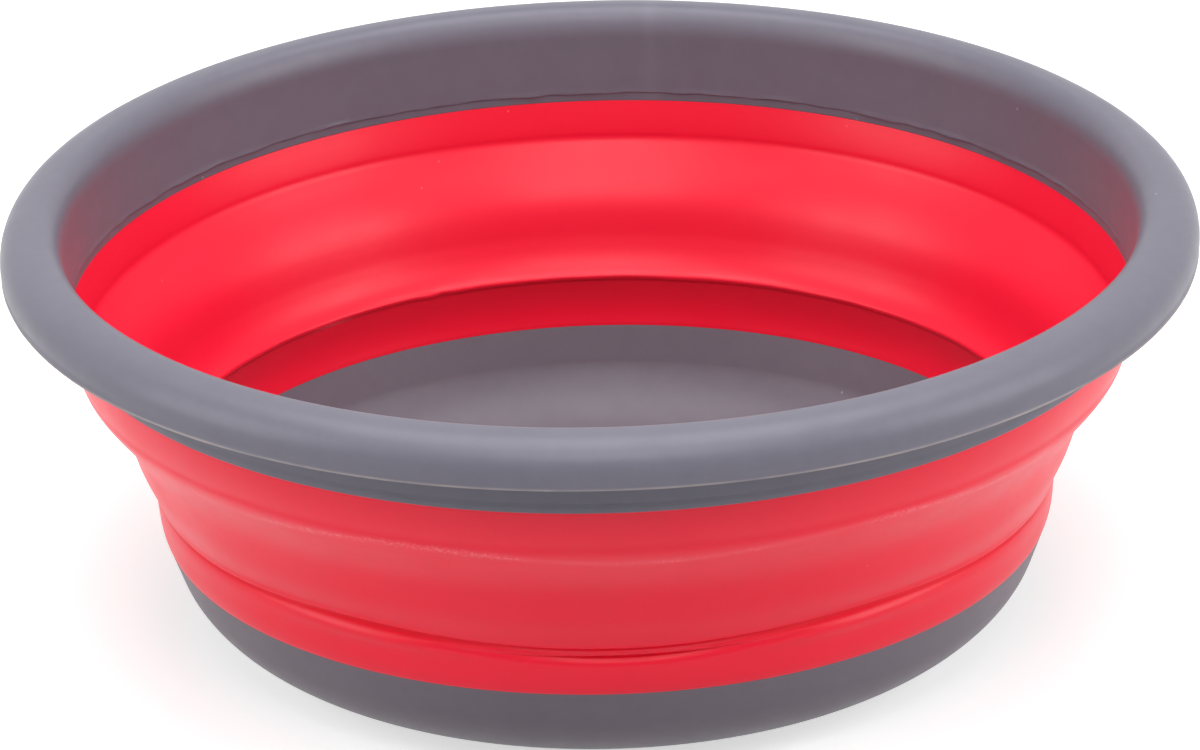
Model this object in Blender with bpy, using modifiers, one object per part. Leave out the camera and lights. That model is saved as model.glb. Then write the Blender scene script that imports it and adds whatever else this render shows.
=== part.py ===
# Collapsible wash bowl: a grey rim and a grey base pan joined by a red wall that folds at two hinges.
# The bowl stands on the origin with +Z up. Every length is in metres.
# A profile point is (radius, height), and a lean is how far a band draws in on its way down.

import math

import bpy

# Turning
TURN_STEPS = 60
MERGE_DISTANCE = 0.00001

# Rim ring
RIM_RADIUS = 0.185
LIP_WIDTH = 0.0192
LIP_INNER_WIDTH = 0.0068
LIP_RISE = 0.0105
LIP_FULLNESS = 2.2
LIP_SKIRT = 0.0035
LIP_WALL = 0.0020
SKIRT_LEAN = 0.0004
COLLAR_HEIGHT = 0.0186
COLLAR_LEAN = 0.0011
RIM_EDGE_STEP = 0.0024
BEAD_RISE = 0.0003
BEAD_HEIGHT = 0.0012
PARTING_STEP = 0.0002
PARTING_HEIGHT = 0.0022

# Flexible wall
WALL = 0.0024
UPPER_BAND_HEIGHT = 0.0143
UPPER_BAND_LEAN = 0.0036
UPPER_BAND_BULGE = 0.0006
FOLD_HEIGHT = 0.0431
FOLD_LEAN = 0.0215
LEDGE_HEIGHT = 0.0166
LEDGE_LEAN = 0.0120
LEDGE_EDGE_HEIGHT = 0.0034
LEDGE_EDGE_LEAN = 0.0019
LEDGE_EDGE_BULGE = 0.0002
LEDGE_BEND = 0.0055
LEDGE_HOLLOW = 0.0005
FOLD_BULGE = 0.0004
LOWER_BAND_HEIGHT = 0.0146
LOWER_BAND_LEAN = 0.0014
LOWER_BAND_BULGE = 0.0005

# Upper living hinge, grooved on the inside
UPPER_GROOVE_DEPTH = 0.0006
UPPER_GROOVE_HEIGHT = 0.0009

# Lower living hinge: a thin web between the eave of the folding band and the shoulder of the lower band
EAVE_HEIGHT = 0.0018
EAVE_SLANT = 0.0004
EAVE_DEPTH = 0.0013
WEB = 0.0014
WEB_SLANT = 0.0003
LOWER_GROOVE_HEIGHT = 0.0016
LOWER_GROOVE_DEPTH = 0.0013
SHOULDER_HEIGHT = 0.0044
SHOULDER_REACH = 0.0004
SHOULDER_BULGE = 0.0005
INNER_SHOULDER_HEIGHT = 0.0025

# Ridge that stands into the bowl over the lower living hinge
RIDGE_HEIGHT = 0.0027
RIDGE_UNDERSIDE_HEIGHT = 0.0015
RIDGE_REACH = 0.0013
RIDGE_NOSE = 0.0006
RIDGE_RUN = 0.0099
RIDGE_HOLLOW = 0.00065

# Joints moulded between the grey pieces and the wall
TONGUE = 0.0008
TONGUE_LENGTH = 0.0045
SEAT_GAP = 0.0003

# Base pan
BASE_HEIGHT = 0.0339
FLANK_HEIGHT = 0.0228
FLANK_LEAN = 0.0039
FLANK_ANGLE = 15.1
FOOT_RADIUS = 0.095
FOOT_WIDTH = 0.0060
FOOT_HEIGHT = 0.0014
FLOOR_WALL = 0.0024
GATE_RADIUS = 0.0050
GATE_DEPTH = 0.0005

# Heights, floor upwards
LOWER_HINGE_Z = BASE_HEIGHT + LOWER_BAND_HEIGHT
UPPER_HINGE_Z = LOWER_HINGE_Z + FOLD_HEIGHT
RIM_EDGE_Z = UPPER_HINGE_Z + UPPER_BAND_HEIGHT
INNER_EDGE_Z = RIM_EDGE_Z - RIM_EDGE_STEP
LIP_SPRING_Z = RIM_EDGE_Z + COLLAR_HEIGHT
LEDGE_Z = UPPER_HINGE_Z - LEDGE_HEIGHT
EAVE_Z = LOWER_HINGE_Z + EAVE_HEIGHT
FLOOR_Z = FOOT_HEIGHT + FLOOR_WALL

# Outer radii, rim inwards
COLLAR_RADIUS = RIM_RADIUS - LIP_WIDTH + WALL
RIM_EDGE_RADIUS = COLLAR_RADIUS - COLLAR_LEAN
WALL_TOP_RADIUS = RIM_EDGE_RADIUS - BEAD_RISE
UPPER_HINGE_RADIUS = WALL_TOP_RADIUS - UPPER_BAND_LEAN
LEDGE_RADIUS = UPPER_HINGE_RADIUS - LEDGE_LEAN
EAVE_RADIUS = UPPER_HINGE_RADIUS - FOLD_LEAN
WEB_RADIUS = EAVE_RADIUS - EAVE_DEPTH - WEB_SLANT
SHOULDER_RADIUS = WEB_RADIUS + SHOULDER_REACH
BASE_RADIUS = SHOULDER_RADIUS - LOWER_BAND_LEAN

# Slopes of the folding band's two straight parts, in radius for each unit of height
LEDGE_SLOPE = (LEDGE_LEAN - LEDGE_EDGE_LEAN) / (LEDGE_HEIGHT - LEDGE_EDGE_HEIGHT)
FOLD_SLOPE = (LEDGE_RADIUS - EAVE_RADIUS) / (LEDGE_Z - EAVE_Z)

GREY = (0.115, 0.105, 0.130, 1.0)
GREY_BASE = (0.105, 0.094, 0.118, 1.0)
RED = (0.760, 0.028, 0.055, 1.0)


def clear_scene():
    for obj in list(bpy.data.objects):
        bpy.data.objects.remove(obj, do_unlink=True)


def new_collection(name):
    collection = bpy.data.collections.new(name)
    bpy.context.scene.collection.children.link(collection)
    return collection


def plastic(name, colour, roughness):
    material = bpy.data.materials.new(name)
    material.use_nodes = True
    shader = material.node_tree.nodes["Principled BSDF"]
    shader.inputs["Base Color"].default_value = colour
    shader.inputs["Roughness"].default_value = roughness
    shader.inputs["Metallic"].default_value = 0.0
    return material


def arc_between(start, end, bulge, pieces):
    """Circular arc from start to end. A positive bulge lies on the left of the way from start to end."""
    chord = math.dist(start, end)
    along = ((end[0] - start[0]) / chord, (end[1] - start[1]) / chord)
    left = (-along[1], along[0])
    rise = max(abs(bulge), chord * 1e-4)
    radius = (chord * chord / 4.0 + rise * rise) / (2.0 * rise)
    half_angle = math.asin(min(1.0, chord / (2.0 * radius)))
    points = []
    for i in range(pieces + 1):
        angle = half_angle * (2.0 * i / pieces - 1.0)
        run = chord / 2.0 + radius * math.sin(angle)
        off = math.copysign(radius * math.cos(angle) - radius + rise, bulge)
        points.append((start[0] + along[0] * run + left[0] * off, start[1] + along[1] * run + left[1] * off))
    return points


def ellipse_arc(centre, half_width, half_height, start_degrees, end_degrees, pieces):
    points = []
    for i in range(pieces + 1):
        angle = math.radians(start_degrees + (end_degrees - start_degrees) * i / pieces)
        points.append((centre[0] + half_width * math.cos(angle), centre[1] + half_height * math.sin(angle)))
    return points


def lip_arc(crown_radius, half_width, rise, start_degrees, end_degrees, pieces):
    """Part of the lip's section, a little fuller than an ellipse. 0 degrees points outwards, 90 is the crown."""
    power = 2.0 / LIP_FULLNESS
    points = []
    for i in range(pieces + 1):
        angle = math.radians(start_degrees + (end_degrees - start_degrees) * i / pieces)
        reach = math.copysign(abs(math.cos(angle)) ** power, math.cos(angle))
        points.append((crown_radius + half_width * reach, LIP_SPRING_Z + rise * abs(math.sin(angle)) ** power))
    return points


def pan_corner(flank_radius, flat_radius, flat_z, pieces):
    """Elliptical corner of the base pan, from the foot of its straight flank down to the flat."""
    start = math.radians(FLANK_ANGLE)
    half_width = (flank_radius - flat_radius) / math.cos(start)
    half_height = (FLANK_HEIGHT - flat_z) / (1.0 - math.sin(start))
    return ellipse_arc((flat_radius, flat_z + half_height), half_width, half_height, -FLANK_ANGLE, -90.0, pieces)


def radius_at(points, height):
    """Radius of a face at a height, read along its points and carried on straight past its ends."""
    for upper, lower in zip(points, points[1:]):
        if height >= lower[1]:
            break
    share = (height - lower[1]) / (upper[1] - lower[1])
    return lower[0] + share * (upper[0] - lower[0])


def tongue(outer_face, root_outer_z, root_inner_z, tip_z, clearance):
    """Tongue in the middle of the wall, or with a clearance the slot it sits in, outer side first."""
    margin = (WALL - TONGUE) / 2.0 - clearance
    return [
        (radius_at(outer_face, root_outer_z) - margin, root_outer_z),
        (radius_at(outer_face, tip_z) - margin, tip_z),
        (radius_at(outer_face, tip_z) - WALL + margin, tip_z),
        (radius_at(outer_face, root_inner_z) - WALL + margin, root_inner_z),
    ]


def upper_band_face():
    """Outer face of the upper band, downwards."""
    top = (WALL_TOP_RADIUS, RIM_EDGE_Z - SEAT_GAP)
    bottom = (UPPER_HINGE_RADIUS, UPPER_HINGE_Z + SEAT_GAP / 2.0)
    return arc_between(top, bottom, UPPER_BAND_BULGE, 4)


def ledge_bend():
    """Hollow bend on the outside of the folding band, from its ledge down into its sloping wall."""
    top = (LEDGE_RADIUS + LEDGE_SLOPE * LEDGE_BEND, LEDGE_Z + LEDGE_BEND)
    bottom = (LEDGE_RADIUS - FOLD_SLOPE * LEDGE_BEND, LEDGE_Z - LEDGE_BEND)
    return arc_between(top, bottom, -LEDGE_HOLLOW, 4)


def fold_band_face():
    """Outer face of the folding band, downwards from the upper hinge to the eave over the lower one."""
    top = (UPPER_HINGE_RADIUS, UPPER_HINGE_Z - SEAT_GAP / 2.0)
    ledge_edge = (UPPER_HINGE_RADIUS - LEDGE_EDGE_LEAN, UPPER_HINGE_Z - LEDGE_EDGE_HEIGHT)
    bend = ledge_bend()
    wall = arc_between(bend[-1], (EAVE_RADIUS, EAVE_Z), FOLD_BULGE, 3)
    return arc_between(top, ledge_edge, LEDGE_EDGE_BULGE, 2) + bend + wall[1:]


def lower_band_face():
    """Outer face of the lower band below its shoulder, downwards."""
    top = (SHOULDER_RADIUS, LOWER_HINGE_Z - SHOULDER_HEIGHT)
    bottom = (BASE_RADIUS, BASE_HEIGHT + SEAT_GAP)
    return arc_between(top, bottom, LOWER_BAND_BULGE, 4)


def rim_ring_profile():
    """Rolled lip, open underneath, then the collar and the tongue that the wall is moulded round."""
    crown_radius = RIM_RADIUS - LIP_WIDTH + LIP_INNER_WIDTH
    skirt_z = LIP_SPRING_Z - LIP_SKIRT
    channel_rise = LIP_RISE - LIP_WALL
    inner_edge_radius = RIM_EDGE_RADIUS - WALL
    lip_outside = lip_arc(crown_radius, RIM_RADIUS - crown_radius, LIP_RISE, 90.0, 0.0, 6)
    skirt = [
        (RIM_RADIUS - SKIRT_LEAN, skirt_z),
        (RIM_RADIUS - SKIRT_LEAN - LIP_WALL, skirt_z),
    ]
    channel = lip_arc(crown_radius, RIM_RADIUS - LIP_WALL - crown_radius, channel_rise, 0.0, 90.0, 5)
    channel += lip_arc(crown_radius, crown_radius - COLLAR_RADIUS, channel_rise, 90.0, 180.0, 3)[1:]
    collar_bead = [
        (RIM_EDGE_RADIUS, RIM_EDGE_Z + 2.0 * BEAD_HEIGHT),
        (RIM_EDGE_RADIUS + BEAD_RISE, RIM_EDGE_Z + BEAD_HEIGHT),
        (RIM_EDGE_RADIUS + BEAD_RISE, RIM_EDGE_Z + BEAD_HEIGHT / 4.0),
        (RIM_EDGE_RADIUS, RIM_EDGE_Z),
    ]
    tip_z = INNER_EDGE_Z - TONGUE_LENGTH
    tongue_points = tongue(upper_band_face(), RIM_EDGE_Z, INNER_EDGE_Z, tip_z, 0.0)
    inside = [
        (inner_edge_radius, INNER_EDGE_Z),
        (inner_edge_radius, INNER_EDGE_Z + PARTING_HEIGHT),
        (inner_edge_radius + PARTING_STEP, INNER_EDGE_Z + PARTING_HEIGHT + PARTING_STEP),
    ]
    lip_inside = lip_arc(crown_radius, LIP_INNER_WIDTH, LIP_RISE, 180.0, 105.0, 5)
    return lip_outside + skirt + channel + collar_bead + tongue_points + inside + lip_inside


def upper_band_profile():
    """Band that hangs from the rim, slotted over the rim's tongue, with the upper hinge at its foot."""
    outside = upper_band_face()
    hinge_inside = UPPER_HINGE_RADIUS - WALL
    groove = [
        (hinge_inside + UPPER_GROOVE_DEPTH, UPPER_HINGE_Z + SEAT_GAP / 2.0),
        (hinge_inside, UPPER_HINGE_Z + UPPER_GROOVE_HEIGHT),
    ]
    top_z = INNER_EDGE_Z - SEAT_GAP
    inner_top = (radius_at(outside, top_z) - WALL, top_z)
    inside = arc_between(groove[-1], inner_top, -UPPER_BAND_BULGE, 3)
    slot_z = INNER_EDGE_Z - TONGUE_LENGTH - SEAT_GAP
    slot = tongue(outside, RIM_EDGE_Z - SEAT_GAP, top_z, slot_z, SEAT_GAP)
    return outside + groove[:1] + inside + slot[::-1]


def fold_band_profile():
    """Band between the hinges: a ledge under the upper one, a sloping wall, the eave and the inner ridge."""
    outside = fold_band_face()
    foot_z = LOWER_HINGE_Z + SEAT_GAP / 2.0
    web_inside = WEB_RADIUS - WEB
    ridge_z = LOWER_HINGE_Z + RIDGE_HEIGHT
    run_z = ridge_z + RIDGE_RUN
    eave = [
        (EAVE_RADIUS - EAVE_DEPTH, EAVE_Z - EAVE_SLANT),
        (WEB_RADIUS, foot_z),
        (web_inside, foot_z),
    ]
    ridge_underside = [
        (web_inside, LOWER_HINGE_Z + RIDGE_UNDERSIDE_HEIGHT),
        (web_inside - RIDGE_REACH, ridge_z - RIDGE_NOSE),
    ]
    ridge_run = (radius_at(outside, run_z) - WALL, run_z)
    ridge = arc_between((web_inside - RIDGE_REACH, ridge_z), ridge_run, -RIDGE_HOLLOW, 4)
    bend = [(radius - WALL, height) for radius, height in reversed(ledge_bend())]
    groove = [
        (UPPER_HINGE_RADIUS - WALL, UPPER_HINGE_Z - UPPER_GROOVE_HEIGHT),
        (UPPER_HINGE_RADIUS - WALL + UPPER_GROOVE_DEPTH, UPPER_HINGE_Z - SEAT_GAP / 2.0),
    ]
    return outside + eave + ridge_underside + ridge + bend + groove


def lower_band_profile():
    """Band that stands on the base pan: a rounded shoulder under the lower hinge, slotted at its foot."""
    top_z = LOWER_HINGE_Z - SEAT_GAP / 2.0
    foot_z = BASE_HEIGHT + SEAT_GAP
    face = lower_band_face()
    groove = (SHOULDER_RADIUS - LOWER_GROOVE_DEPTH, LOWER_HINGE_Z - LOWER_GROOVE_HEIGHT)
    shoulder = arc_between(groove, face[0], SHOULDER_BULGE, 3)
    slot_z = BASE_HEIGHT + TONGUE_LENGTH + SEAT_GAP
    slot = tongue(face, foot_z, foot_z, slot_z, SEAT_GAP)
    inner_foot = (BASE_RADIUS - WALL, foot_z)
    inner_shoulder = (SHOULDER_RADIUS - WALL, LOWER_HINGE_Z - INNER_SHOULDER_HEIGHT)
    inside = arc_between(inner_foot, inner_shoulder, -LOWER_BAND_BULGE, 3)
    return [(WEB_RADIUS, top_z)] + shoulder + face[1:] + slot + inside + [(WEB_RADIUS - WEB, top_z)]


def base_pan_profile():
    """Shallow pan on a foot ring, from the middle of its floor round to the middle of its underside."""
    flank_radius = BASE_RADIUS - FLANK_LEAN
    inner_flat = FOOT_RADIUS - WALL / 2.0
    inside = pan_corner(flank_radius - WALL, inner_flat, FLOOR_Z, 7)[::-1]
    tip_z = BASE_HEIGHT + TONGUE_LENGTH
    tongue_points = tongue(lower_band_face(), BASE_HEIGHT, BASE_HEIGHT, tip_z, 0.0)[::-1]
    edge = [(BASE_RADIUS - WALL, BASE_HEIGHT)] + tongue_points + [(BASE_RADIUS, BASE_HEIGHT)]
    outside = pan_corner(flank_radius, FOOT_RADIUS, 0.0, 8)
    foot = [
        (FOOT_RADIUS - FOOT_WIDTH, 0.0),
        (FOOT_RADIUS - FOOT_WIDTH - FOOT_HEIGHT, FOOT_HEIGHT),
    ]
    gate = [
        (GATE_RADIUS, FOOT_HEIGHT),
        (GATE_RADIUS - GATE_DEPTH, FOOT_HEIGHT + GATE_DEPTH),
        (0.0, FOOT_HEIGHT + GATE_DEPTH),
    ]
    return [(0.0, FLOOR_Z)] + inside + edge + outside + foot + gate


def turned(name, profile, parent, collection, material):
    """One turned solid. A profile that starts on the axis stays open there, any other one is closed."""
    vertices = [(radius, 0.0, height - parent.location.z) for radius, height in profile]
    edges = [(i, i + 1) for i in range(len(vertices) - 1)]
    if profile[0][0] > 0.0:
        edges.append((len(vertices) - 1, 0))
    mesh = bpy.data.meshes.new(name)
    mesh.from_pydata(vertices, edges, [])
    mesh.materials.append(material)
    obj = bpy.data.objects.new(name, mesh)
    obj.parent = parent
    collection.objects.link(obj)
    screw = obj.modifiers.new("Turn", "SCREW")
    screw.axis = "Z"
    screw.angle = 2.0 * math.pi
    screw.steps = TURN_STEPS
    screw.render_steps = TURN_STEPS
    screw.use_merge_vertices = True
    screw.merge_threshold = MERGE_DISTANCE
    screw.use_smooth_shade = True
    return obj


def carrier(name, height, collection):
    """Empty on the bowl's axis that carries the pieces of one moving body."""
    empty = bpy.data.objects.new(name, None)
    empty.location = (0.0, 0.0, height)
    empty.empty_display_size = FOOT_RADIUS
    collection.objects.link(empty)
    return empty


def main():
    clear_scene()
    bowl = new_collection("collapsible_bowl")
    base = carrier("base_carrier", 0.0, bowl)
    fold_slide = carrier("fold_slide", LOWER_HINGE_Z, bowl)
    rim_slide = carrier("rim_slide", UPPER_HINGE_Z, bowl)
    turned("rim_ring", rim_ring_profile(), rim_slide, bowl, plastic("rim_grey", GREY, 0.42))
    turned("upper_band", upper_band_profile(), rim_slide, bowl, plastic("upper_red", RED, 0.48))
    turned("fold_band", fold_band_profile(), fold_slide, bowl, plastic("fold_red", RED, 0.48))
    turned("lower_band", lower_band_profile(), base, bowl, plastic("lower_red", RED, 0.48))
    turned("base_pan", base_pan_profile(), base, bowl, plastic("base_grey", GREY_BASE, 0.45))


main()
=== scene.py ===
"""Looks for a collapsible wash bowl: a grey rim and base pan joined by a red wall with two folding lines.

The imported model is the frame. Lengths are in metres and heights are above the plane that the bowl stands on.
A profile point is (radius, height) or (radius, height, fillet). Angles round the axis are in degrees, and -90
is the side nearest the camera.
"""

import math

import bpy
import numpy as np
from mathutils import Matrix, Vector


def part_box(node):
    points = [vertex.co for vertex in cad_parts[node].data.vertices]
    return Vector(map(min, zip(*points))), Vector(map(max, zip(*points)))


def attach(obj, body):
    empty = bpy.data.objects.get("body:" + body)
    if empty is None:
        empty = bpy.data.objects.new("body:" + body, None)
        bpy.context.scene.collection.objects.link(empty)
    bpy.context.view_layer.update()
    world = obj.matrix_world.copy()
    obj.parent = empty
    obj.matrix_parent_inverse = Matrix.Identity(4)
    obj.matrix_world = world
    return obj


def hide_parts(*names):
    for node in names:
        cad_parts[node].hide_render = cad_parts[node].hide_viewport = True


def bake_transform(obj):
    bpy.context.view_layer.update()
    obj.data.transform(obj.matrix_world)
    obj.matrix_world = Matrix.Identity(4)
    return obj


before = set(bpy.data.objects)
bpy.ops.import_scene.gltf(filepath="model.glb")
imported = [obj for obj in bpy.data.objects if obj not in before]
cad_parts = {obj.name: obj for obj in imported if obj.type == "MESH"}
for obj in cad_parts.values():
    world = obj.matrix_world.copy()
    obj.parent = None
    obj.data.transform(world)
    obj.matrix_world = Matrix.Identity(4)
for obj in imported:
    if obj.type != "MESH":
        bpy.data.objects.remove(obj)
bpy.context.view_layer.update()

# Steps round the axis, and pieces along each curve of the outlines
STEPS = 384
CURVE_PIECES = 3
CORNER_PIECES = 40
LIP_PIECES = 36
LIP_INNER_PIECES = 28
CHANNEL_PIECES = 14
CHANNEL_INNER_PIECES = 10

# All mouldings
WALL = 0.0024
SEAM = 0.00004
EDGE_FILLET = 0.0001
TONGUE_FILLET = 0.0002
TONGUE_LENGTH = 0.0042
SLOT_ROOM = 0.0002

# Rim moulding
RIM_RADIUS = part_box("rim_ring")[1].x
RIM_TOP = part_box("rim_ring")[1].z
LIP_WIDTH = 0.0192
LIP_INNER_WIDTH = 0.0068
LIP_RISE = 0.0105
LIP_FULLNESS = 2.2
LIP_SKIRT = 0.0035
LIP_WALL = 0.0020
SKIRT_LEAN = 0.0004
RIM_EDGE = 0.1059
INNER_EDGE = 0.1035
COLLAR_OUT_TOP = RIM_RADIUS - LIP_WIDTH + WALL
COLLAR_OUT_FOOT = 0.1671
COLLAR_IN_FOOT = COLLAR_OUT_FOOT - WALL
LIP_SPRING = RIM_TOP - LIP_RISE
SKIRT_FOOT = LIP_SPRING - LIP_SKIRT
CROWN_RADIUS = RIM_RADIUS - LIP_WIDTH + LIP_INNER_WIDTH
BEAD = 0.0003
PARTING_HEIGHT = 0.0028
PARTING_STEP = 0.0002

# From the foot of the lip's skirt
FLASH_LINE = [
    (0.00003, 0.00045),
    (0.00026, 0.00026),
    (0.00026, 0.00012),
    (-0.00010, 0.0),
    (-LIP_WALL, 0.0, 0.0005),
]
# From the outer foot of the collar
COLLAR_BEAD = [
    (0.00012, 0.0032, 0.0010),
    (BEAD, 0.0017, 0.0006),
    (BEAD, 0.0003, 0.0003),
    (-0.00010, 0.0, EDGE_FILLET),
]
# From the height of the inner edge, under the outer foot of the collar
RIM_TONGUE = [
    (-0.0008, RIM_EDGE - INNER_EDGE),
    (-0.0019, -TONGUE_LENGTH, TONGUE_FILLET),
    (-0.0026, -TONGUE_LENGTH, TONGUE_FILLET),
    (-0.0019, 0.0),
]
# From the inner foot of the collar
COLLAR_INSIDE = [
    (0.0, 0.0, 0.0002),
    (PARTING_STEP, PARTING_HEIGHT - 0.0004, EDGE_FILLET),
    (-0.00005, PARTING_HEIGHT, EDGE_FILLET),
    (0.00005, PARTING_HEIGHT + 0.0010),
    (0.00010, PARTING_HEIGHT + 0.0020),
    (PARTING_STEP + 0.0004, 0.012, 0.02),
]

# Base pan
BASE_RADIUS = 0.1391
BASE_TONGUE_RISE = 0.0045
BASE_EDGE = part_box("base_pan")[1].z - BASE_TONGUE_RISE
FLANK_HEIGHT = 0.0228
FLANK_LEAN = 0.0039
FLANK_ANGLE = 15.1
FOOT_RADIUS = 0.095
FOOT_WIDTH = 0.0060
FOOT_HEIGHT = 0.0014
FLOOR = 0.0038
GATE_RADIUS = 0.0050
GATE_DEPTH = 0.0005

# From the outer corner of the pan's edge
BASE_TONGUE = [
    (-WALL, 0.0, EDGE_FILLET),
    (-0.0016, 0.0),
    (-0.0008, TONGUE_LENGTH, TONGUE_FILLET),
    (0.0, TONGUE_LENGTH, TONGUE_FILLET),
    (-0.0008, 0.0),
    (0.0, 0.0, EDGE_FILLET),
]

# Red wall
LOWER_HINGE = 0.0485
BAND_BULGE = 0.0005
BAND_PIECES = 8

# Going down the outside from the upper folding line, as read off the photograph
FOLD_OUTSIDE = [
    (0.16335, 0.0930), (0.16296, 0.0910), (0.16192, 0.0890), (0.16050, 0.0870), (0.15897, 0.0850),
    (0.15735, 0.0830), (0.15575, 0.0810), (0.15425, 0.0790), (0.15285, 0.0770), (0.15162, 0.0750),
    (0.15058, 0.0730), (0.14972, 0.0710), (0.14900, 0.0690), (0.14831, 0.0670), (0.14766, 0.0650),
    (0.14702, 0.0630), (0.14630, 0.0610), (0.14548, 0.0590), (0.14457, 0.0570), (0.14366, 0.0550),
    (0.14280, 0.0530), (0.14185, 0.0507),
]
EAVE = [
    (0.14178, 0.0503, 0.0003),
    (0.14030, 0.0499, 0.0005),
    (0.13895, 0.0493, 0.0003),
]
SHOULDER = [
    (0.13910, 0.0487), (0.13950, 0.0480), (0.14018, 0.0472), (0.14052, 0.0463), (0.14069, 0.0452),
    (0.14070, 0.0441), (0.14060, 0.0426), (0.14045, 0.0410), (0.14030, 0.0390), (0.14003, 0.0370),
    (0.13960, 0.0352), (BASE_RADIUS, BASE_EDGE + SEAM),
]
# Going up the inside
LOWER_INSIDE = [
    (0.13700, 0.0350), (0.13775, 0.0375), (0.13835, 0.0405), (0.13858, 0.0435), (0.13850, 0.0462),
]
RIDGE = [
    (0.13832, 0.0480), (0.13826, 0.0490), (0.13800, 0.0498), (0.13758, 0.0503), (0.13732, 0.0509),
    (0.13734, 0.0515),
]
FOLD_INSIDE = [
    (0.13772, 0.0520), (0.13895, 0.0531), (0.14060, 0.0550), (0.14190, 0.0570), (0.14295, 0.0590),
    (0.14382, 0.0610), (0.14462, 0.0630), (0.14530, 0.0650), (0.14595, 0.0670), (0.14664, 0.0690),
    (0.14738, 0.0710), (0.14826, 0.0730), (0.14930, 0.0750), (0.15053, 0.0770), (0.15193, 0.0790),
    (0.15343, 0.0810), (0.15503, 0.0830), (0.15665, 0.0850), (0.15820, 0.0870), (0.15965, 0.0890),
    (0.16085, 0.0907), (0.16135, 0.0919), (0.16155, 0.0931), (0.16188, 0.0945), (0.16250, 0.0967),
    (0.16335, 0.0995),
]
# From the inner foot of the collar
WALL_TOP_EDGE = [
    (-0.00025, -0.0009),
    (0.0, -SEAM, EDGE_FILLET),
]
# Slots round the tongues, from the same places as the tongues
RIM_SLOT = [
    (-0.00205, -SEAM),
    (-0.0029, -TONGUE_LENGTH - SLOT_ROOM, TONGUE_FILLET),
    (-0.0017, -TONGUE_LENGTH - SLOT_ROOM, TONGUE_FILLET),
    (-0.00065, RIM_EDGE - INNER_EDGE - SEAM),
]
BASE_SLOT = [
    (-0.0007, SEAM),
    (0.0001, TONGUE_LENGTH + SLOT_ROOM, TONGUE_FILLET),
    (-0.0009, TONGUE_LENGTH + SLOT_ROOM, TONGUE_FILLET),
    (-0.0017, SEAM),
]


# Outlines


def arc(start, end, bulge, pieces):
    """Circular arc from start to end. A positive bulge lies on the left of the way from start to end."""
    sx, sz = start
    ex, ez = end
    chord = math.hypot(ex - sx, ez - sz)
    ax, az = (ex - sx) / chord, (ez - sz) / chord
    rise = max(abs(bulge), chord * 1e-4)
    radius = (chord * chord / 4.0 + rise * rise) / (2.0 * rise)
    half = math.asin(min(1.0, chord / (2.0 * radius)))
    points = []
    for i in range(pieces + 1):
        angle = half * (2.0 * i / pieces - 1.0)
        run = chord / 2.0 + radius * math.sin(angle)
        off = math.copysign(radius * math.cos(angle) - radius + rise, bulge)
        points.append((sx + ax * run - az * off, sz + az * run + ax * off))
    return points


def ellipse(centre, half_width, half_height, start, end, pieces):
    """Part of an ellipse between two angles in degrees."""
    points = []
    for i in range(pieces + 1):
        angle = math.radians(start + (end - start) * i / pieces)
        points.append((centre[0] + half_width * math.cos(angle), centre[1] + half_height * math.sin(angle)))
    return points


def lip_arc(half_width, rise, start, end, pieces):
    """Part of the lip's section, a little fuller than an ellipse. 0 degrees is outwards and 90 the crown."""
    power = 2.0 / LIP_FULLNESS
    points = []
    for i in range(pieces + 1):
        angle = math.radians(start + (end - start) * i / pieces)
        reach = math.copysign(abs(math.cos(angle)) ** power, math.cos(angle))
        height = abs(math.sin(angle)) ** power
        points.append((CROWN_RADIUS + half_width * reach, LIP_SPRING + rise * height))
    return points


def rounded(points, closed=False):
    """Fillets the corners of an outline. A plain point has no fillet."""
    count = len(points)
    result = []
    for i, point in enumerate(points):
        fillet = point[2] if len(point) > 2 else 0.0
        at_end = not closed and i in (0, count - 1)
        if fillet <= 0.0 or at_end:
            result.append(point[:2])
            continue
        here = Vector(point[:2])
        before = Vector(points[i - 1][:2]) - here
        after = Vector(points[(i + 1) % count][:2]) - here
        turn = before.angle(after)
        reach = min(fillet / math.tan(turn / 2.0), 0.49 * before.length, 0.49 * after.length)
        a = here + before.normalized() * reach
        b = here + after.normalized() * reach
        pieces = max(2, min(6, int((math.pi - turn) / 0.25)))
        for k in range(pieces + 1):
            t = k / pieces
            q = a * (1.0 - t) ** 2 + here * (2.0 * t * (1.0 - t)) + b * t * t
            result.append((q.x, q.y))
    return result


def curve(points):
    """Smooth curve through the points."""
    ends = [points[0]] + points + [points[-1]]
    result = []
    for near_points in zip(ends, ends[1:], ends[2:], ends[3:]):
        for k in range(CURVE_PIECES):
            t = k / CURVE_PIECES
            result.append(tuple(spline(t, *values) for values in zip(*near_points)))
    return result + [points[-1]]


def spline(t, p, q, r, s):
    """Catmull-Rom value between q and r, at a share t of the way."""
    square = (2.0 * p - 5.0 * q + 4.0 * r - s) * t * t
    cube = (3.0 * q - p - 3.0 * r + s) * t ** 3
    return 0.5 * (2.0 * q + (r - p) * t + square + cube)


def shifted(points, radius, height):
    """The points set from another origin."""
    return [(radius + point[0], height + point[1], *point[2:]) for point in points]


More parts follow.
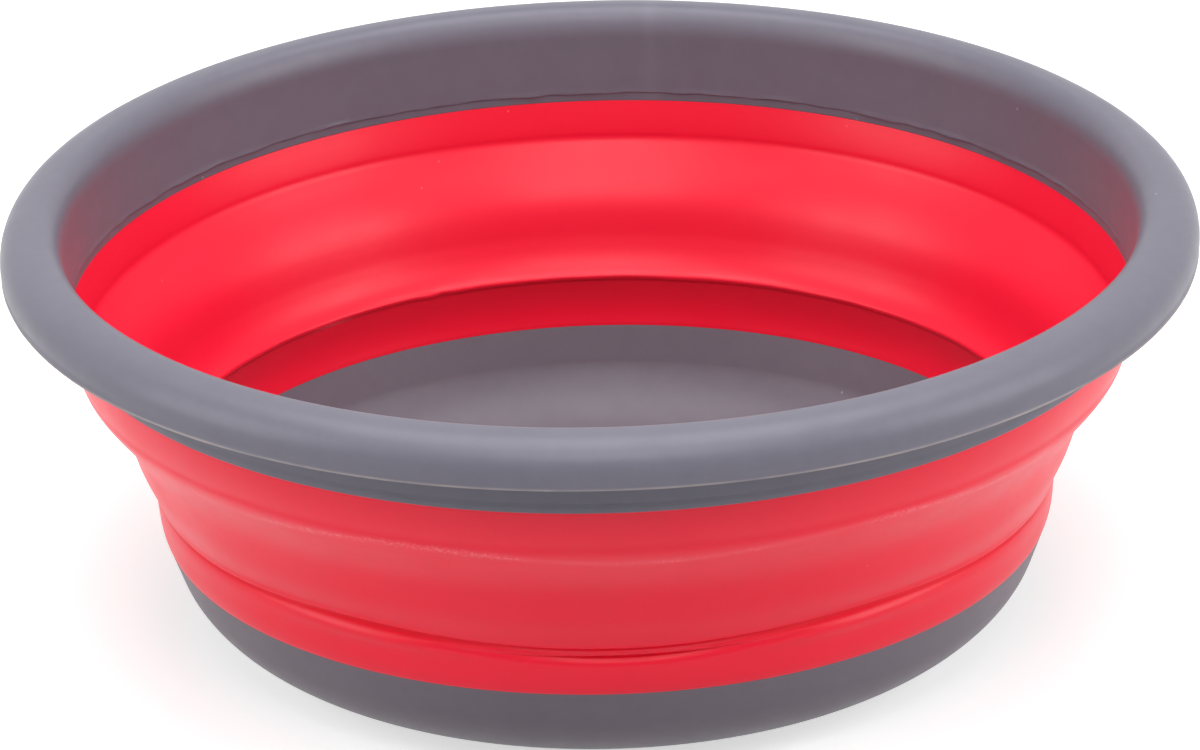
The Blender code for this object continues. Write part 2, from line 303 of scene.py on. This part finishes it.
def rim_outline():
    """Rolled lip with its flash line, the channel under it, the collar with its bead, the parting line."""
    channel_rise = LIP_RISE - LIP_WALL
    channel_width = RIM_RADIUS - LIP_WALL - CROWN_RADIUS
    channel_inner_width = CROWN_RADIUS - COLLAR_OUT_TOP
    outline = lip_arc(RIM_RADIUS - CROWN_RADIUS, LIP_RISE, 90.0, 0.0, LIP_PIECES)
    outline += shifted(FLASH_LINE, RIM_RADIUS - SKIRT_LEAN, SKIRT_FOOT)
    outline += lip_arc(channel_width, channel_rise, 0.0, 90.0, CHANNEL_PIECES)
    outline += lip_arc(channel_inner_width, channel_rise, 90.0, 180.0, CHANNEL_INNER_PIECES)[1:]
    outline += shifted(COLLAR_BEAD, COLLAR_OUT_FOOT, RIM_EDGE)
    outline += shifted(RIM_TONGUE, COLLAR_OUT_FOOT, INNER_EDGE)
    outline += shifted(COLLAR_INSIDE, COLLAR_IN_FOOT, INNER_EDGE)
    outline += lip_arc(LIP_INNER_WIDTH, LIP_RISE, 180.0, 90.0, LIP_INNER_PIECES)[:-1]
    return rounded(outline, closed=True)


def wall_outline():
    """The red moulding between rim and base pan, folded at the upper hinge and at the lower one."""
    top = (COLLAR_OUT_FOOT - BEAD, RIM_EDGE - SEAM)
    outline = [(*top, EDGE_FILLET)]
    outline += arc(top, FOLD_OUTSIDE[0], BAND_BULGE, BAND_PIECES)[1:-1]
    outline += curve(FOLD_OUTSIDE) + EAVE + curve(SHOULDER)
    outline += shifted(BASE_SLOT, BASE_RADIUS, BASE_EDGE)
    outline += [(BASE_RADIUS - WALL, BASE_EDGE + SEAM, EDGE_FILLET)]
    outline += curve(LOWER_INSIDE) + curve(RIDGE) + curve(FOLD_INSIDE)
    outline += shifted(WALL_TOP_EDGE, COLLAR_IN_FOOT, INNER_EDGE)
    outline += shifted(RIM_SLOT, COLLAR_OUT_FOOT, INNER_EDGE)
    return rounded(outline, closed=True)


def pan_corner(flank_radius, flat_radius, flat):
    """Elliptical corner of the pan, from the foot of its straight flank down to the flat."""
    start = math.radians(FLANK_ANGLE)
    half_width = (flank_radius - flat_radius) / math.cos(start)
    half_height = (FLANK_HEIGHT - flat) / (1.0 - math.sin(start))
    centre = (flat_radius, flat + half_height)
    return ellipse(centre, half_width, half_height, -FLANK_ANGLE, -90.0, CORNER_PIECES)


def base_outline():
    """The pan, from the middle of its floor round to the middle of its underside."""
    flank = BASE_RADIUS - FLANK_LEAN
    foot_inside = FOOT_RADIUS - FOOT_WIDTH
    outline = [(0.0, FLOOR)]
    outline += pan_corner(flank - WALL, FOOT_RADIUS - WALL / 2.0, FLOOR)[::-1]
    outline += shifted(BASE_TONGUE, BASE_RADIUS, BASE_EDGE)
    outline += pan_corner(flank, FOOT_RADIUS, 0.0)
    outline += [
        (foot_inside, 0.0, 0.0004),
        (foot_inside - FOOT_HEIGHT, FOOT_HEIGHT, 0.0006),
        (GATE_RADIUS, FOOT_HEIGHT, 0.0002),
        (GATE_RADIUS - GATE_DEPTH, FOOT_HEIGHT + GATE_DEPTH, 0.0002),
        (0.0, FOOT_HEIGHT + GATE_DEPTH),
    ]
    return rounded(outline)


# Unevenness of the mouldings

# Ripples, as (waves round the bowl, seed of their phases)
PARTING_RAGS = ((3, 7, 16, 33, 61, 107), 4)
PARTING_WAVE = ((7, 19, 41, 83), 5)
FLASH_WAVE = ((9, 23, 47, 90), 6)
WALL_WAVE = ((2, 3, 5, 8), 11)
RIDGE_WAVE = ((6, 13, 21, 34), 12)

# The rim: how wide its parting line and its flash line are, how far they stray, and how ragged the first is
PARTING_WIDTH = 0.0005
PARTING_BURR = 0.00030
PARTING_SWAY = 0.00060
RAGS_LEVEL = 0.25
RAGS_SWING = 1.8
FLASH_WIDTH = 0.0002
FLASH_REACH = 0.00006
FLASH_INNER_LIMIT = RIM_RADIUS - 0.0010

# The soft wall: long waves all over, between two heights where the grey pieces hold it true
WALL_SWAY = 0.00022
SWAY_TWIST = 6.0
HELD_ABOVE = INNER_EDGE - 0.004
HELD_BELOW = BASE_EDGE + 0.003
HOLD_FADE = 0.010

# The lower folding line on the near side, as (angles, width of the bump): open, full, proud and lifted there
FOLD_OPEN = ((-88.0,), 15.0)
FOLD_FULL = ((-60.0, -120.0), 14.0)
FOLD_PROUD = ((-40.0, -140.0), 20.0)
FOLD_LIFTED = ((-56.0, -124.0), 18.0)
FOLD_LIFT = 0.0021
FOLD_LIFT_HEIGHT = LOWER_HINGE + 0.0005
FOLD_LIFT_WIDTH = 0.0065
FOLD_WEB_HEIGHT = 0.0488
FOLD_WEB_WIDTH = 0.0010
FOLD_WEB_REACH = 0.0018
FOLD_STEP_HEIGHT = 0.0471
FOLD_STEP_FADE = 0.0005
FOLD_STEP_WIDTH = 0.0022
FOLD_STEP_DEPTH = 0.0023
FOLD_STEP_THINNING = 0.4
EAVE_EDGE = 0.0506
EAVE_WIDTH = 0.0009
EAVE_REACH = 0.0006
SHOULDER_CREST = 0.0457
SHOULDER_WIDTH = 0.0020
SHOULDER_FULLNESS = 0.0013

# The ridge inside
RIDGE_HEIGHT = LOWER_HINGE + 0.0024
RIDGE_WIDTH = 0.0012
RIDGE_SWAY = 0.00028
KINK_RISE = 0.00055
KINK_UP = ((112.2,), 0.9)
KINK_DOWN = ((114.5,), 1.2)
KINK_DOWN_SHARE = 0.7


def ripple(angle, waves, seed):
    """Smooth closed wave round the bowl, within about -1 and 1."""
    draw = np.random.default_rng(seed)
    total = np.zeros_like(angle)
    for count in waves:
        total += np.sin(count * angle + draw.uniform(0.0, 2.0 * math.pi)) / len(waves)
    return total


def bumps(angle, centres, width):
    """Soft bumps of height 1 at angles in degrees."""
    total = np.zeros_like(angle)
    for centre in centres:
        off = (angle - math.radians(centre) + math.pi) % (2.0 * math.pi) - math.pi
        total += np.exp(-((off / math.radians(width)) ** 2))
    return total


def near(height, centre, width):
    """1 at the height of the centre, fading above and below it."""
    return np.exp(-(((height - centre) / width) ** 2))


def rim_shape(angle, radius, height, inner):
    """The parting line and the flash line are uneven, as a worn mould leaves them."""
    parting = near(height, INNER_EDGE + PARTING_HEIGHT, PARTING_WIDTH) * inner
    ragged = np.clip(RAGS_LEVEL + RAGS_SWING * ripple(angle, *PARTING_RAGS), 0.0, 1.0)
    radius = radius - parting * PARTING_BURR * ragged
    height = height + parting * PARTING_SWAY * ripple(angle, *PARTING_WAVE)
    flash = near(height, SKIRT_FOOT + FLASH_WIDTH, FLASH_WIDTH) * (radius > FLASH_INNER_LIMIT)
    radius = radius + flash * FLASH_REACH * ripple(angle, *FLASH_WAVE)
    return radius, height


def wall_shape(angle, radius, height, inner):
    """The soft wall is never quite true: long waves, an uneven lower folding line, a wavy ridge inside."""
    free = np.clip((HELD_ABOVE - height) / HOLD_FADE, 0.0, 1.0)
    free = free * np.clip((height - HELD_BELOW) / HOLD_FADE, 0.0, 1.0)
    radius = radius + free * WALL_SWAY * ripple(angle + SWAY_TWIST * height, *WALL_WAVE)

    outer = 1.0 - inner
    opened = bumps(angle, *FOLD_OPEN)
    web = outer * near(height, FOLD_WEB_HEIGHT, FOLD_WEB_WIDTH) * FOLD_WEB_REACH * opened
    below = np.clip((FOLD_STEP_HEIGHT - height) / FOLD_STEP_FADE, 0.0, 1.0)
    below = below * near(height, FOLD_STEP_HEIGHT, FOLD_STEP_WIDTH)
    step = below * FOLD_STEP_DEPTH * opened * (1.0 - FOLD_STEP_THINNING * inner)
    shoulder = near(height, SHOULDER_CREST, SHOULDER_WIDTH) * SHOULDER_FULLNESS * bumps(angle, *FOLD_FULL)
    eave = near(height, EAVE_EDGE, EAVE_WIDTH) * EAVE_REACH * bumps(angle, *FOLD_PROUD)
    radius = radius + web - step + outer * (shoulder + eave)
    lift = near(height, FOLD_LIFT_HEIGHT, FOLD_LIFT_WIDTH) * FOLD_LIFT
    height = height + lift * bumps(angle, *FOLD_LIFTED)

    ridge = near(height, RIDGE_HEIGHT, RIDGE_WIDTH) * inner
    height = height + ridge * RIDGE_SWAY * ripple(angle, *RIDGE_WAVE)
    kink = bumps(angle, *KINK_UP) - KINK_DOWN_SHARE * bumps(angle, *KINK_DOWN)
    height = height + ridge * KINK_RISE * kink
    return radius, height


def even(angle, radius, height, inner):
    """The pan is true."""
    return radius, height


# Meshes


def turned(name, outline, shape, material):
    """One closed turned mesh. An outline that starts on the axis ends on it too."""
    on_axis = outline[0][0] < 1e-9
    points = outline[1:-1] if on_axis else outline
    count = len(points)
    profile = np.array(points)
    ahead = np.roll(profile, -1, 0) - np.roll(profile, 1, 0)
    inner = (ahead[:, 1] > 0.0).astype(float)
    angles = np.arange(STEPS) * (2.0 * math.pi / STEPS)
    angle, radius = np.meshgrid(angles, profile[:, 0], indexing="ij")
    height = np.broadcast_to(profile[:, 1], angle.shape)
    radius, height = shape(angle, radius, height, np.broadcast_to(inner, angle.shape))
    places = np.stack([radius * np.cos(angle), radius * np.sin(angle), height], -1).reshape(-1, 3)
    faces = []
    last = count - 1 if on_axis else count
    for i in range(STEPS):
        j = (i + 1) % STEPS
        for k in range(last):
            m = (k + 1) % count
            faces.append((i * count + k, i * count + m, j * count + m, j * count + k))
    verts = [tuple(p) for p in places]
    if on_axis:
        verts.append((0.0, 0.0, outline[0][1]))
        verts.append((0.0, 0.0, outline[-1][1]))
        top, bottom = len(verts) - 2, len(verts) - 1
        for i in range(STEPS):
            j = (i + 1) % STEPS
            faces.append((top, i * count, j * count))
            faces.append((i * count + count - 1, bottom, j * count + count - 1))
    mesh = bpy.data.meshes.new(name)
    mesh.from_pydata(verts, [], faces)
    mesh.validate()
    mesh.shade_smooth()
    obj = bpy.data.objects.new(name, mesh)
    bpy.context.scene.collection.objects.link(obj)
    mesh.materials.append(material)
    return obj


# Materials

# Each as sRGB: the plain colour, then a paler and a darker one for its clouds, patches and marks, and for
# painted highlight and shade
RIM_GREYS = ((107, 105, 117), (135, 133, 144), (87, 84, 96))
BASE_GREYS = ((102, 97, 107), (130, 124, 134), (84, 79, 89))
REDS = ((243, 22, 54), (246, 112, 122), (226, 12, 44))
SKIRT_PALE = (172, 160, 154)
GREY_SPECK = (196, 190, 194)
RED_SPECK = (246, 130, 138)

RIM_ROUGHNESS = 0.38
BASE_ROUGHNESS = 0.42
GREY_ROUGHNESS_SPREAD = 0.035
RED_ROUGHNESS = (0.33, 0.40)
GREY_IOR = 1.49
GREY_SPECULAR = 0.28
RED_IOR = 1.50
RED_SPECULAR = 0.31

# Bumps, as (depth, strength)
GREY_GRAIN_BUMP = (0.00006, 0.35)
GREY_SWELL_BUMP = (0.0010, 0.10)
RED_GRAIN_BUMP = (0.00006, 0.30)
RED_SWELL_BUMP = (0.0012, 0.12)

# Noises, as (waves per metre, detail, roughness)
GREY_CLOUDS = (9.0, 3.0, 0.55)
GREY_MOTTLE = (160.0, 3.0, 0.6)
GREY_PATCHES = (38.0, 4.0, 0.6)
GREY_POLISH = (60.0, 4.0, 0.65)
GREY_GRAIN = (2600.0, 2.0, 0.5)
GREY_SWELL = (34.0, 2.0, 0.5)
# Patches of the painted shade along the parting line
PARTING_SHADE_CLOUDS = (90.0, 3.0, 0.6)
WEAR_CLOUDS = (55.0, 3.0, 0.6)
RED_CLOUDS = (7.0, 3.0, 0.55)
RED_POLISH = (45.0, 4.0, 0.6)
RED_GRAIN = (1900.0, 2.0, 0.5)
RED_SWELL = (28.0, 2.0, 0.5)
SCUFFS = (900.0, 4.0, 0.7)
SCUFF_PATCHES = (30.0, 2.0, 0.5)

# Specks, as (cells per metre, size within the cell, share of the cells that have one)
GREY_SPECKS = (140.0, 0.08, 0.035)
RED_SPECKS = (170.0, 0.08, 0.05)

# How far each mark takes the colour to its own
SPECK_SHARE = 0.35
FLOW_LINE_SHARE = 0.16
# Painted highlight along the crease of the red wall
CREASE_HIGHLIGHT_SHARE = 0.16
SCUFF_SHARE = 0.90
RIDGE_FLASH_SHARE = 0.65

# Marks on the rim, and painted shade along its parting line
FLOW_LINE_X = 0.0184
FLOW_LINE_WIDTH = 0.0028
FLOW_LINE_BEHIND = (0.10, 0.12)
SKIRT_LINE_HEIGHT = SKIRT_FOOT + 0.0003
SKIRT_LINE_WIDTH = 0.0004
SKIRT_LINE_REACH = RIM_RADIUS - 0.0015
# Painted shade: a dark line where the parting step inside the collar overhangs
PARTING_SHADE_HEIGHT = INNER_EDGE + PARTING_HEIGHT - 0.0002
PARTING_SHADE_WIDTH = 0.0005

# Painted highlight along the bend on the outside below the upper folding line, with whitened scuffs in it.
# The sloping limit keeps it off the inside
CREASE_HEIGHT = 0.0882
CREASE_WIDTH = 0.0011
CREASE_SWING = 0.0019
CREASE_WAVES = 7.0
CREASE_TURN = math.radians(60.0)
CREASE_LIMIT = 0.1066
CREASE_LIMIT_SLOPE = 0.6

# Pale flash on the ridge inside
RIDGE_FLASH_TURN = math.radians(130.0)
RIDGE_FLASH_SPAN = math.radians(3.0)
RIDGE_FLASH_HEIGHT = 0.0500
RIDGE_FLASH_WIDTH = 0.0006
RIDGE_FLASH_REACH = 0.1392


def srgb(r, g, b):
    """Linear colour of 8-bit sRGB numbers."""

    def one(c):
        c /= 255.0
        return c / 12.92 if c <= 0.04045 else ((c + 0.055) / 1.055) ** 2.4

    return (one(r), one(g), one(b), 1.0)


class Nodes:
    """Short way to write a node tree."""

    def __init__(self, tree):
        self.tree = tree

    def new(self, kind, **settings):
        node = self.tree.nodes.new(kind)
        for key, value in settings.items():
            setattr(node, key, value)
        return node

    def link(self, source, target):
        self.tree.links.new(source, target)

    def value(self, socket, value):
        if isinstance(value, bpy.types.NodeSocket):
            self.link(value, socket)
        else:
            socket.default_value = value

    def calc(self, operation, a, b=0.0, c=0.0):
        node = self.new("ShaderNodeMath", operation=operation)
        for socket, item in zip(node.inputs, (a, b, c)):
            self.value(socket, item)
        return node.outputs[0]

    def times(self, a, b):
        return self.calc("MULTIPLY", a, b)

    def bell(self, value, centre, width):
        """1 where the value is at the centre, fading on both sides of it."""
        off = self.calc("DIVIDE", self.calc("SUBTRACT", value, centre), width)
        return self.calc("EXPONENT", self.times(self.times(off, off), -1.0))

    def ramp(self, value, low, high, out_low=0.0, out_high=1.0):
        node = self.new("ShaderNodeMapRange", clamp=True)
        items = {"Value": value, "From Min": low, "From Max": high, "To Min": out_low, "To Max": out_high}
        for name, item in items.items():
            self.value(node.inputs[name], item)
        return node.outputs["Result"]

    def mix(self, share, a, b):
        node = self.new("ShaderNodeMix", data_type="RGBA")
        self.value(node.inputs["Factor"], share)
        self.value(node.inputs["A"], a)
        self.value(node.inputs["B"], b)
        return node.outputs["Result"]

    def seen(self):
        """1 for what the camera, a reflection or a clear piece shows, and 0 for the light that it gives."""
        path = self.new("ShaderNodeLightPath")
        direct = self.calc("MAXIMUM", path.outputs["Is Camera Ray"], path.outputs["Is Glossy Ray"])
        return self.calc("MAXIMUM", direct, path.outputs["Is Transmission Ray"])


class Skin(Nodes):
    """Node tree of a new material. Noise is in the object's own place, in waves per metre."""

    def __init__(self, name):
        self.material = bpy.data.materials.new(name)
        self.material.use_nodes = True
        super().__init__(self.material.node_tree)
        self.shader = self.tree.nodes["Principled BSDF"]
        self.place = self.new("ShaderNodeTexCoord").outputs["Object"]

    def position(self):
        """A point's x, y and height, and its distance from the axis."""
        split = self.new("ShaderNodeSeparateXYZ")
        self.link(self.place, split.inputs[0])
        x, y, height = split.outputs
        reach = self.calc("SQRT", self.calc("MULTIPLY_ADD", y, y, self.times(x, x)))
        return x, y, height, reach

    def noise(self, scale, detail, roughness):
        node = self.new("ShaderNodeTexNoise")
        node.inputs["Scale"].default_value = scale
        node.inputs["Detail"].default_value = detail
        node.inputs["Roughness"].default_value = roughness
        self.link(self.place, node.inputs["Vector"])
        return node.outputs["Fac"]

    def bump(self, height, distance, strength, before=None):
        node = self.new("ShaderNodeBump")
        node.inputs["Strength"].default_value = strength
        node.inputs["Distance"].default_value = distance
        self.link(height, node.inputs["Height"])
        if before is not None:
            self.link(before, node.inputs["Normal"])
        return node.outputs["Normal"]

    def specks(self, scale, size, share):
        """Sparse round specks: the share of cells that have one, and its size within the cell."""
        node = self.new("ShaderNodeTexVoronoi")
        node.inputs["Scale"].default_value = scale
        self.link(self.place, node.inputs["Vector"])
        split = self.new("ShaderNodeSeparateColor")
        self.link(node.outputs["Color"], split.inputs[0])
        chosen = self.calc("LESS_THAN", split.outputs[0], share)
        return self.times(chosen, self.ramp(node.outputs["Distance"], size, size * 0.6))

    def finish(self, colour, roughness, ior, specular, normal):
        """Puts the surface together and gives the material."""
        self.link(colour, self.shader.inputs["Base Color"])
        self.link(roughness, self.shader.inputs["Roughness"])
        self.shader.inputs["IOR"].default_value = ior
        self.shader.inputs["Specular IOR Level"].default_value = specular
        self.link(normal, self.shader.inputs["Normal"])
        return self.material


def rim_marks(n, base, pale, dark):
    """Flow line at the back of the collar, worn edge of the lip's skirt, and painted shade along the parting
    line.
    """
    x, y, height, reach = n.position()
    flow = n.times(n.bell(x, FLOW_LINE_X, FLOW_LINE_WIDTH), n.ramp(y, *FLOW_LINE_BEHIND))
    base = n.mix(n.times(flow, FLOW_LINE_SHARE), base, pale)
    # Painted shade, patchy, along the parting step inside the collar, where its overhang shades the wall
    parting = n.bell(height, PARTING_SHADE_HEIGHT, PARTING_SHADE_WIDTH)
    parting_shade = n.ramp(n.noise(*PARTING_SHADE_CLOUDS), 0.42, 0.6, 0.0, 0.45)
    parting_shade = n.times(parting_shade, n.calc("LESS_THAN", reach, COLLAR_OUT_FOOT))
    base = n.mix(n.times(parting, parting_shade), base, dark)
    skirt = n.bell(height, SKIRT_LINE_HEIGHT, SKIRT_LINE_WIDTH)
    skirt = n.times(skirt, n.calc("GREATER_THAN", reach, SKIRT_LINE_REACH))
    wear = n.ramp(n.noise(*WEAR_CLOUDS), 0.3, 0.6, 0.20, 0.60)
    return n.mix(n.times(skirt, wear), base, srgb(*SKIRT_PALE))


def grey_plastic(name, greys, roughness, is_rim):
    """Rigid plastic: soft clouds, a fine mottle, darker patches and a few pale specks."""
    n = Skin(name)
    colour, pale, dark = (srgb(*grey) for grey in greys)
    mottle = n.times(n.noise(*GREY_MOTTLE), 0.4)
    tone = n.calc("MULTIPLY_ADD", n.noise(*GREY_CLOUDS), 0.6, mottle)
    base = n.mix(n.ramp(tone, 0.36, 0.64, 0.0, 0.16), colour, pale)
    base = n.mix(n.ramp(n.noise(*GREY_PATCHES), 0.52, 0.75, 0.0, 0.10), base, dark)
    if is_rim:
        base = rim_marks(n, base, pale, dark)
    base = n.mix(n.times(n.specks(*GREY_SPECKS), SPECK_SHARE), base, srgb(*GREY_SPECK))
    low, high = roughness - GREY_ROUGHNESS_SPREAD, roughness + GREY_ROUGHNESS_SPREAD
    rough = n.ramp(n.noise(*GREY_POLISH), 0.3, 0.7, low, high)
    grain = n.bump(n.noise(*GREY_GRAIN), *GREY_GRAIN_BUMP)
    swell = n.bump(n.noise(*GREY_SWELL), *GREY_SWELL_BUMP, before=grain)
    return n.finish(base, rough, GREY_IOR, GREY_SPECULAR, swell)


def red_wall(name):
    """Soft elastomer: deeper clouds, a painted highlight along the crease with whitened scuffs in it, a flash
    line and pale specks.
    """
    n = Skin(name)
    red, pale, deep = (srgb(*colour) for colour in REDS)
    x, y, height, reach = n.position()
    turn = n.calc("ARCTAN2", y, x)
    base = n.mix(n.ramp(n.noise(*RED_CLOUDS), 0.35, 0.65, 0.0, 0.30), red, deep)

    # Painted highlight: a pale wavy band along the bend below the upper folding line; the scuffs in it are
    # whitened wear
    wave = n.calc("COSINE", n.calc("MULTIPLY_ADD", turn, CREASE_WAVES, CREASE_WAVES * CREASE_TURN))
    crease = n.bell(height, n.calc("MULTIPLY_ADD", wave, CREASE_SWING, CREASE_HEIGHT), CREASE_WIDTH)
    beyond = n.calc("MULTIPLY_ADD", height, -CREASE_LIMIT_SLOPE, reach)
    crease = n.times(crease, n.calc("GREATER_THAN", beyond, CREASE_LIMIT))
    scuffs = n.ramp(n.noise(*SCUFFS), 0.46, 0.66)
    patches = n.ramp(n.noise(*SCUFF_PATCHES), 0.40, 0.60)
    worn = n.times(n.times(scuffs, patches), crease)
    base = n.mix(n.times(crease, CREASE_HIGHLIGHT_SHARE), base, pale)
    base = n.mix(n.times(worn, SCUFF_SHARE), base, pale)

    flash = n.bell(height, RIDGE_FLASH_HEIGHT, RIDGE_FLASH_WIDTH)
    flash = n.times(flash, n.bell(turn, RIDGE_FLASH_TURN, RIDGE_FLASH_SPAN))
    flash = n.times(flash, n.calc("LESS_THAN", reach, RIDGE_FLASH_REACH))
    base = n.mix(n.times(flash, RIDGE_FLASH_SHARE), base, pale)

    base = n.mix(n.times(n.specks(*RED_SPECKS), SPECK_SHARE), base, srgb(*RED_SPECK))
    rough = n.ramp(n.noise(*RED_POLISH), 0.3, 0.7, *RED_ROUGHNESS)
    grain = n.bump(n.noise(*RED_GRAIN), *RED_GRAIN_BUMP)
    swell = n.bump(n.noise(*RED_SWELL), *RED_SWELL_BUMP, before=grain)
    return n.finish(base, rough, RED_IOR, RED_SPECULAR, swell)


# Stage: a pale floor that looks white and still takes the bowl's shadow, and soft boxes of light

FLOOR_HALF = 6.0
FLOOR_DROP = 0.0002
FLOOR_COLOUR = (0.70, 0.70, 0.70, 1.0)
FLOOR_ROUGHNESS = 0.9
FLOOR_SPECULAR = 0.1
FLOOR_GLOW = 0.6
GLOW_NEAR = 0.6
GLOW_FAR = 1.8
WORLD_FILL = 0.05

# Each lamp's place, width, height and power in watts
LAMPS = {
    "top_box": ((0.0, 0.10, 1.50), 1.4, 1.1, 20.5),
    "front_box": ((0.0, -0.95, 1.30), 0.9, 0.6, 8.0),
    "left_box": ((-1.45, -0.45, 0.75), 1.0, 1.1, 12.5),
    "right_box": ((1.45, -0.45, 0.75), 1.0, 1.1, 14.7),
}
LAMP_TARGET = (0.0, 0.0, 0.07)


def make_floor():
    mesh = bpy.data.meshes.new("floor")
    corners = [(x * FLOOR_HALF, y * FLOOR_HALF, 0.0) for x, y in ((-1, -1), (1, -1), (1, 1), (-1, 1))]
    mesh.from_pydata(corners, [], [(0, 1, 2, 3)])
    floor = bpy.data.objects.new("floor", mesh)
    floor.location.z = -FLOOR_DROP
    bpy.context.scene.collection.objects.link(floor)
    n = Skin("floor_white")
    n.shader.inputs["Base Color"].default_value = FLOOR_COLOUR
    n.shader.inputs["Roughness"].default_value = FLOOR_ROUGHNESS
    n.shader.inputs["Specular IOR Level"].default_value = FLOOR_SPECULAR
    away = n.new("ShaderNodeVectorMath", operation="LENGTH")
    n.link(n.place, away.inputs[0])
    level = n.ramp(away.outputs["Value"], GLOW_NEAR, GLOW_FAR, FLOOR_GLOW, 1.0)
    glow = n.new("ShaderNodeEmission")
    n.link(n.times(n.seen(), level), glow.inputs["Strength"])
    both = n.new("ShaderNodeAddShader")
    n.link(n.shader.outputs[0], both.inputs[0])
    n.link(glow.outputs[0], both.inputs[1])
    n.link(both.outputs[0], n.tree.nodes["Material Output"].inputs["Surface"])
    mesh.materials.append(n.material)


def facing(place, target):
    """Turn of a lamp at a place that shines on the target."""
    return (Vector(target) - Vector(place)).to_track_quat("-Z", "Y").to_euler()


def make_lights():
    for name, (place, width, height, power) in LAMPS.items():
        data = bpy.data.lights.new(name, "AREA")
        data.shape = "RECTANGLE"
        data.size = width
        data.size_y = height
        data.energy = power
        lamp = bpy.data.objects.new(name, data)
        lamp.location = place
        lamp.rotation_euler = facing(place, LAMP_TARGET)
        bpy.context.scene.collection.objects.link(lamp)


def make_world():
    world = bpy.data.worlds.new("studio")
    bpy.context.scene.world = world
    world.use_nodes = True
    n = Nodes(world.node_tree)
    back = n.tree.nodes["Background"]
    back.inputs["Color"].default_value = (1.0, 1.0, 1.0, 1.0)
    n.link(n.ramp(n.seen(), 0.0, 1.0, WORLD_FILL, 1.0), back.inputs["Strength"])


# Camera, fitted to the colour edges and creases of the photograph. Shifts and distance are in units of UNIT,
# from the middle of the ring where the grey collar ends. Elevation and roll are in radians

FOCAL_PIXELS = 6517.55
PHOTO_WIDTH = 1200.0
SENSOR = 36.0
ELEVATION = 0.41419719
ROLL = 0.02600469
UNIT = 0.165
RING_HEIGHT = 0.10365
SHIFT_RIGHT = 0.0018263
SHIFT_UP = 0.1540418
DISTANCE = 12.2696777
CLIP_START = 0.05
CLIP_END = 50.0


def make_camera():
    along = Vector((0.0, math.cos(ELEVATION), -math.sin(ELEVATION)))
    up = Vector((0.0, math.sin(ELEVATION), math.cos(ELEVATION)))
    side = Vector((1.0, 0.0, 0.0))
    right = math.cos(ROLL) * side - math.sin(ROLL) * up
    upward = math.sin(ROLL) * side + math.cos(ROLL) * up
    place = (-SHIFT_RIGHT * right - SHIFT_UP * upward - DISTANCE * along) * UNIT
    place.z += RING_HEIGHT
    data = bpy.data.cameras.new("camera")
    data.sensor_fit = "HORIZONTAL"
    data.sensor_width = SENSOR
    data.lens = FOCAL_PIXELS / PHOTO_WIDTH * SENSOR
    data.clip_start = CLIP_START
    data.clip_end = CLIP_END
    camera = bpy.data.objects.new("camera", data)
    bpy.context.scene.collection.objects.link(camera)
    turn = Matrix((right, upward, -along)).transposed()
    camera.matrix_world = Matrix.Translation(place) @ turn.to_4x4()
    bpy.context.scene.camera = camera


def main():
    bpy.context.scene.view_settings.view_transform = "Standard"
    make_camera()
    make_lights()
    make_world()
    make_floor()

    rim_grey = grey_plastic("rim_plastic", RIM_GREYS, RIM_ROUGHNESS, is_rim=True)
    base_grey = grey_plastic("base_plastic", BASE_GREYS, BASE_ROUGHNESS, is_rim=False)
    red = red_wall("wall_elastomer")

    rim = turned("rim_moulding", rim_outline(), rim_shape, rim_grey)
    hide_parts("rim_ring")
    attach(rim, "rim")

    wall = turned("wall_moulding", wall_outline(), wall_shape, red)
    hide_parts("upper_band", "fold_band", "lower_band")
    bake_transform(wall)

    base = turned("base_moulding", base_outline(), even, base_grey)
    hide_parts("base_pan")
    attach(base, "base")


main()
